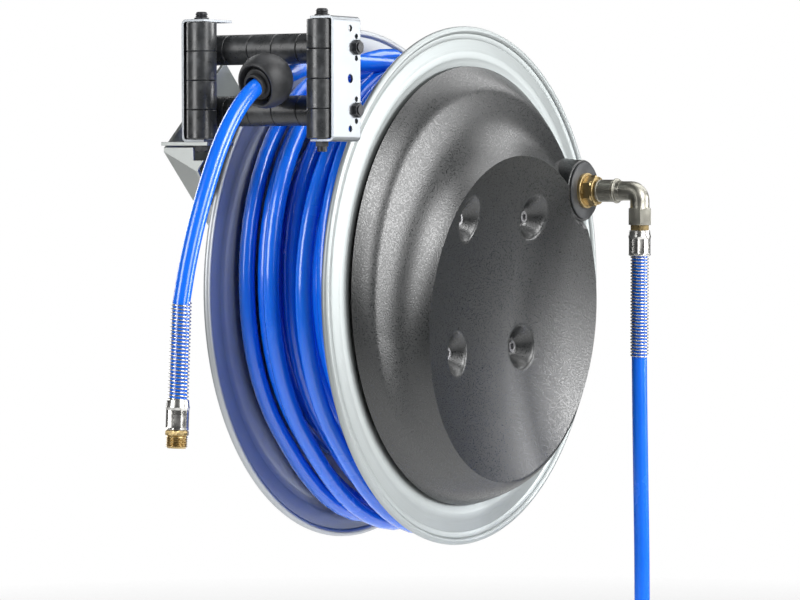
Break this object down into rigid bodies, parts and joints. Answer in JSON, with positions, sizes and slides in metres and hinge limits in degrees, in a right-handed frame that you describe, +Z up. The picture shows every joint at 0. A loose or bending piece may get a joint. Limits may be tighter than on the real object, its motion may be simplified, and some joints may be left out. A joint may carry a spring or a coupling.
{
  "type": "spring-rewind hose reel",
  "caption": "Wall-mounted spring-rewind hose reel: flexible blue hose on a steel drum, roller guide, dished cover, ratchet and swivel inlet.",
  "frame": {"origin": "centre of the four wall bolts, on the face of the wall flange that meets the wall", "axes": "+Y into the wall, +Z up, +X along the drum's axle towards the dished cover"},
  "size_m": [0.2682, 0.6058, 0.84],
  "materials": {
    "stainless": "satin stainless sheet with rolled edges",
    "zinc_plate": "zinc-plated folded steel plate",
    "bright_steel": "turned bright steel",
    "black_bolt": "black oxide fasteners",
    "screw_steel": "grey phosphated socket screws",
    "cover_plastic": "black moulded plastic with a fine leather grain",
    "roller_plastic": "satin black nylon",
    "grommet_rubber": "soft black rubber",
    "ball_rubber": "moulded black rubber",
    "hose_blue": "glossy clear-blue polyurethane hose",
    "brass": "turned brass",
    "nickel": "nickel-plated brass fittings",
    "guard_wire": "close-wound round steel wire",
    "ferrule_steel": "swaged steel sleeve",
    "bronze": "oil-filled bronze bearing bush",
    "spring_steel": "blued spring strip",
    "pressed_steel": "grey painted pressed steel"
  },
  "bodies": {
    "frame": {"wall_bracket": "zinc_plate", "axle": "bright_steel", "axle_washer": "bright_steel", "axle_nut": "screw_steel", "stator_plate": "zinc_plate", "feed_pipe": "ferrule_steel", "axle_banjo": "brass", "cover": "cover_plastic", "cover_screws": "screw_steel", "inlet_grommet": "grommet_rubber", "inlet_bulkhead": "brass", "guide_arm": "zinc_plate", "arm_bolts": "screw_steel", "guide_bracket_left": "stainless", "guide_bracket_right": "stainless", "vertical_pins": "black_bolt", "vertical_pin_nuts": "black_bolt", "horizontal_pins": "black_bolt", "horizontal_pin_nuts": "black_bolt", "pawl_pin": "bright_steel", "pawl_spring": "bright_steel", "delivery_hose": "hose_blue", "ball_stop": "ball_rubber", "stop_collar": "ball_rubber", "delivery_spring_guard": "guard_wire", "delivery_ferrule": "ferrule_steel", "delivery_nipple": "brass"},
    "drum": {"near_disc": "stainless", "far_disc": "stainless", "drum_core": "pressed_steel", "hub_near": "pressed_steel", "hub_far": "pressed_steel", "bush_near": "bronze", "bush_far": "bronze", "disc_screws": "screw_steel", "spring_case": "pressed_steel", "spring_case_lid": "pressed_steel", "power_spring": "spring_steel", "ratchet_wheel": "bright_steel", "swivel_housing": "brass", "swivel_seals": "grommet_rubber", "outlet_pipe": "brass", "outlet_nut": "nickel", "wound_hose": "hose_blue"},
    "guide_roller_left": {"roller_left": "roller_plastic"},
    "guide_roller_right": {"roller_right": "roller_plastic"},
    "guide_roller_top": {"roller_top": "roller_plastic"},
    "guide_roller_bottom": {"roller_bottom": "roller_plastic"},
    "pawl": {"ratchet_pawl": "bright_steel"},
    "inlet_drop": {"inlet_swivel_body": "nickel", "inlet_elbow": "nickel", "inlet_nut": "nickel", "inlet_tail": "brass", "inlet_ferrule": "ferrule_steel", "inlet_spring_guard": "guard_wire", "inlet_hose": "hose_blue", "inlet_end_ferrule": "ferrule_steel", "inlet_end_nut": "brass"}
  },
  "joints": [
    {"name": "drum_spin", "type": "hinge", "parent": "frame", "child": "drum", "pos_m": [0.041, -0.245, 0], "axis": [1, 0, 0], "continuous": true},
    {"name": "left_roller_spin", "type": "hinge", "parent": "frame", "child": "guide_roller_left", "pos_m": [-0.0123, -0.475, 0.171], "axis": [0, 0, 1], "continuous": true},
    {"name": "right_roller_spin", "type": "hinge", "parent": "frame", "child": "guide_roller_right", "pos_m": [0.1047, -0.475, 0.171], "axis": [0, 0, 1], "continuous": true},
    {"name": "top_roller_spin", "type": "hinge", "parent": "frame", "child": "guide_roller_top", "pos_m": [0.0462, -0.4498, 0.1958], "axis": [1, 0, 0], "continuous": true},
    {"name": "bottom_roller_spin", "type": "hinge", "parent": "frame", "child": "guide_roller_bottom", "pos_m": [0.0462, -0.4498, 0.1463], "axis": [1, 0, 0], "continuous": true},
    {"name": "pawl_swing", "type": "hinge", "parent": "frame", "child": "pawl", "pos_m": [-0.0225, -0.165, 0.022], "axis": [1, 0, 0], "range_deg": [-20, 10], "stiffness_Nm_per_rad": 0.05},
    {"name": "inlet_swivel", "type": "hinge", "parent": "frame", "child": "inlet_drop", "pos_m": [0.158, -0.113, 0.08], "axis": [1, 0, 0], "range_deg": [-90, 8]}
  ]
}
